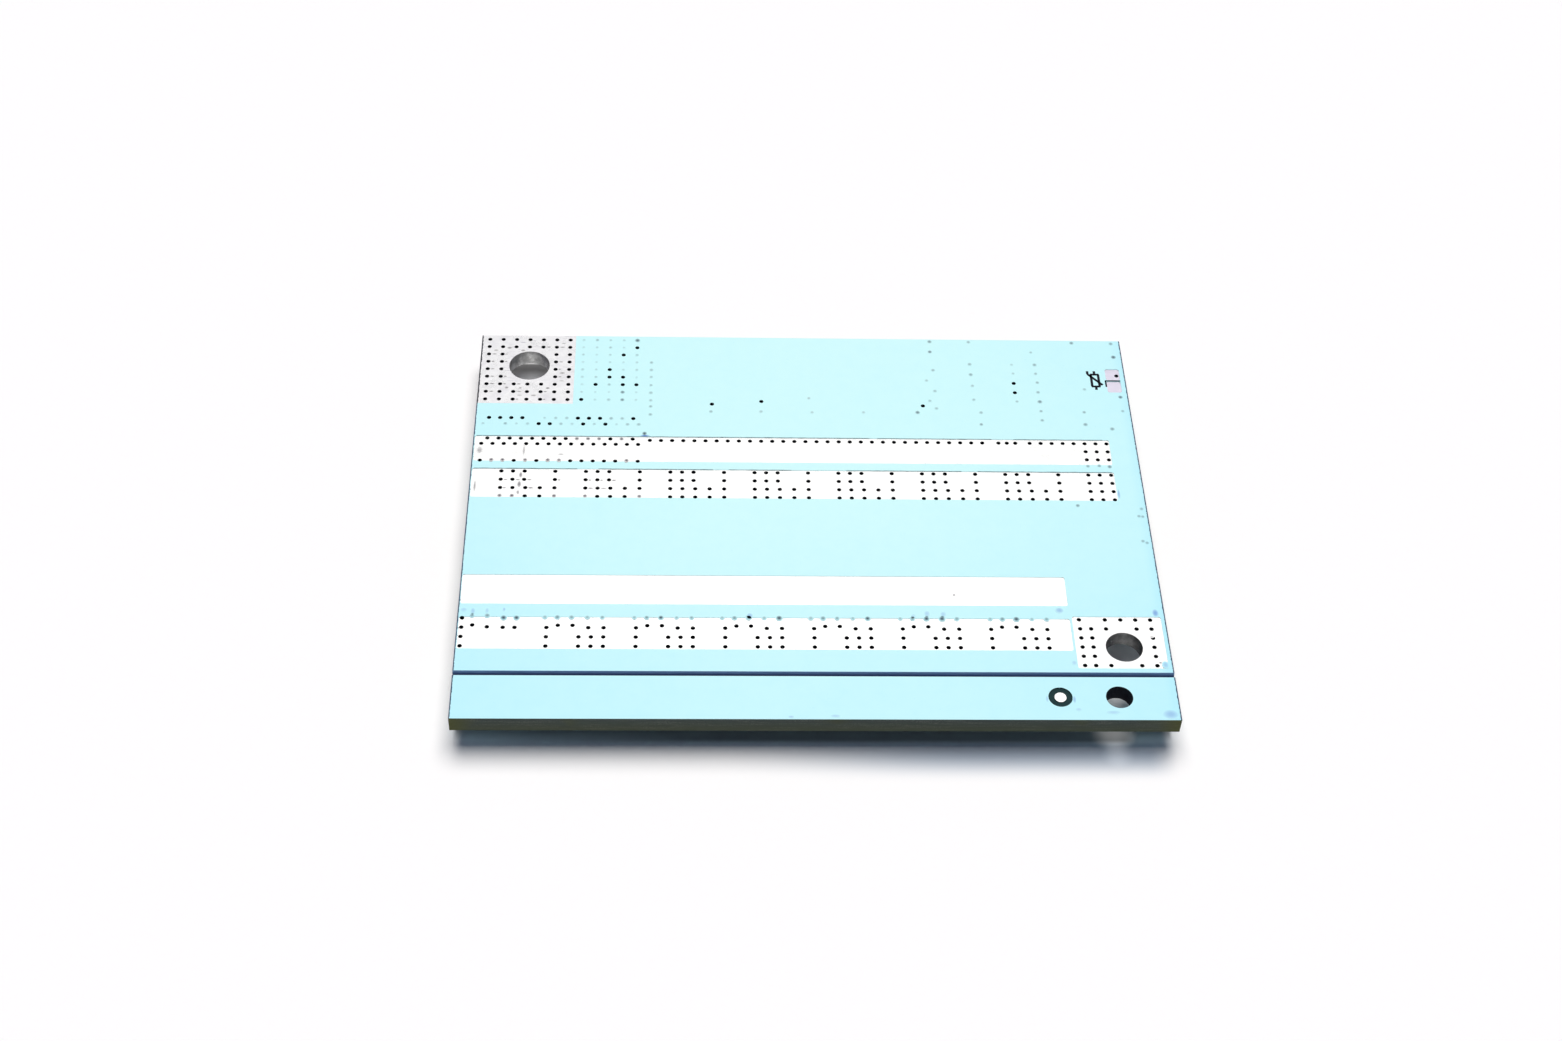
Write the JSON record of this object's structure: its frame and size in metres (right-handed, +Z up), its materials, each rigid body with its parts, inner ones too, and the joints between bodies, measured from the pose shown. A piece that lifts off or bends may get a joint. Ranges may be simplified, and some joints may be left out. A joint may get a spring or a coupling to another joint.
{
  "type": "battery protection board",
  "caption": "Flat rectangular circuit board with via-stitched tinned strips, plated terminal holes at opposite corners and a scored break-away rail, resting on its power transistors.",
  "frame": {"origin": "centre of the bounding box, on the plane that the power transistors' faces rest on", "axes": "+X along the board's long side, towards the pack terminal; +Y from the break-away rail to the battery terminal's edge; +Z up, out of the solder side"},
  "size_m": [0.061, 0.0458, 0.0039],
  "materials": {
    "solder_mask": "pale blue solder mask over glass-epoxy laminate, semi-gloss",
    "tinned_copper": "bright hot-air-levelled tin on copper",
    "tinned_pad": "hot-air-levelled tin on copper, slightly scuffed",
    "moulded_epoxy": "black moulded epoxy with tinned leads",
    "resistor_body": "black glazed ceramic with tinned ends",
    "capacitor_body": "tan ceramic with tinned ends"
  },
  "bodies": {
    "root": {"printed_board": "solder_mask", "shunt_bus_strip": "tinned_copper", "discharge_source_strip": "tinned_copper", "drain_strip": "tinned_copper", "charge_source_strip": "tinned_copper", "battery_terminal_pad": "tinned_pad", "pack_terminal_pad": "tinned_pad", "sensor_pad_far": "tinned_copper", "sensor_pad_near": "tinned_copper", "fiducial_dot": "tinned_copper", "discharge_mosfet_1": "moulded_epoxy", "discharge_mosfet_2": "moulded_epoxy", "discharge_mosfet_3": "moulded_epoxy", "discharge_mosfet_4": "moulded_epoxy", "discharge_mosfet_5": "moulded_epoxy", "discharge_mosfet_6": "moulded_epoxy", "discharge_mosfet_7": "moulded_epoxy", "discharge_mosfet_8": "moulded_epoxy", "charge_mosfet_1": "moulded_epoxy", "charge_mosfet_2": "moulded_epoxy", "charge_mosfet_3": "moulded_epoxy", "charge_mosfet_4": "moulded_epoxy", "charge_mosfet_5": "moulded_epoxy", "charge_mosfet_6": "moulded_epoxy", "charge_mosfet_7": "moulded_epoxy", "shunt_resistor_1": "resistor_body", "shunt_resistor_2": "resistor_body", "shunt_resistor_3": "resistor_body", "shunt_resistor_4": "resistor_body", "shunt_resistor_5": "resistor_body", "protection_ic": "moulded_epoxy", "balance_resistor_1": "resistor_body", "balance_resistor_2": "resistor_body", "balance_resistor_3": "resistor_body", "balance_resistor_4": "resistor_body", "balance_resistor_5": "resistor_body", "balance_transistor_1": "moulded_epoxy", "balance_transistor_2": "moulded_epoxy", "balance_transistor_3": "moulded_epoxy", "balance_transistor_4": "moulded_epoxy", "balance_transistor_5": "moulded_epoxy", "filter_resistor_1": "resistor_body", "filter_resistor_2": "resistor_body", "filter_resistor_3": "resistor_body", "filter_resistor_4": "resistor_body", "filter_resistor_5": "resistor_body", "filter_capacitor_1": "capacitor_body", "filter_capacitor_2": "capacitor_body", "filter_capacitor_3": "capacitor_body", "filter_capacitor_4": "capacitor_body", "filter_capacitor_5": "capacitor_body", "cell_pad_1": "tinned_copper", "cell_pad_2": "tinned_copper", "cell_pad_3": "tinned_copper", "cell_pad_4": "tinned_copper", "cell_pad_5": "tinned_copper", "driver_transistor": "moulded_epoxy", "surge_diode": "moulded_epoxy", "supply_capacitor": "capacitor_body"}
  },
  "joints": []
}
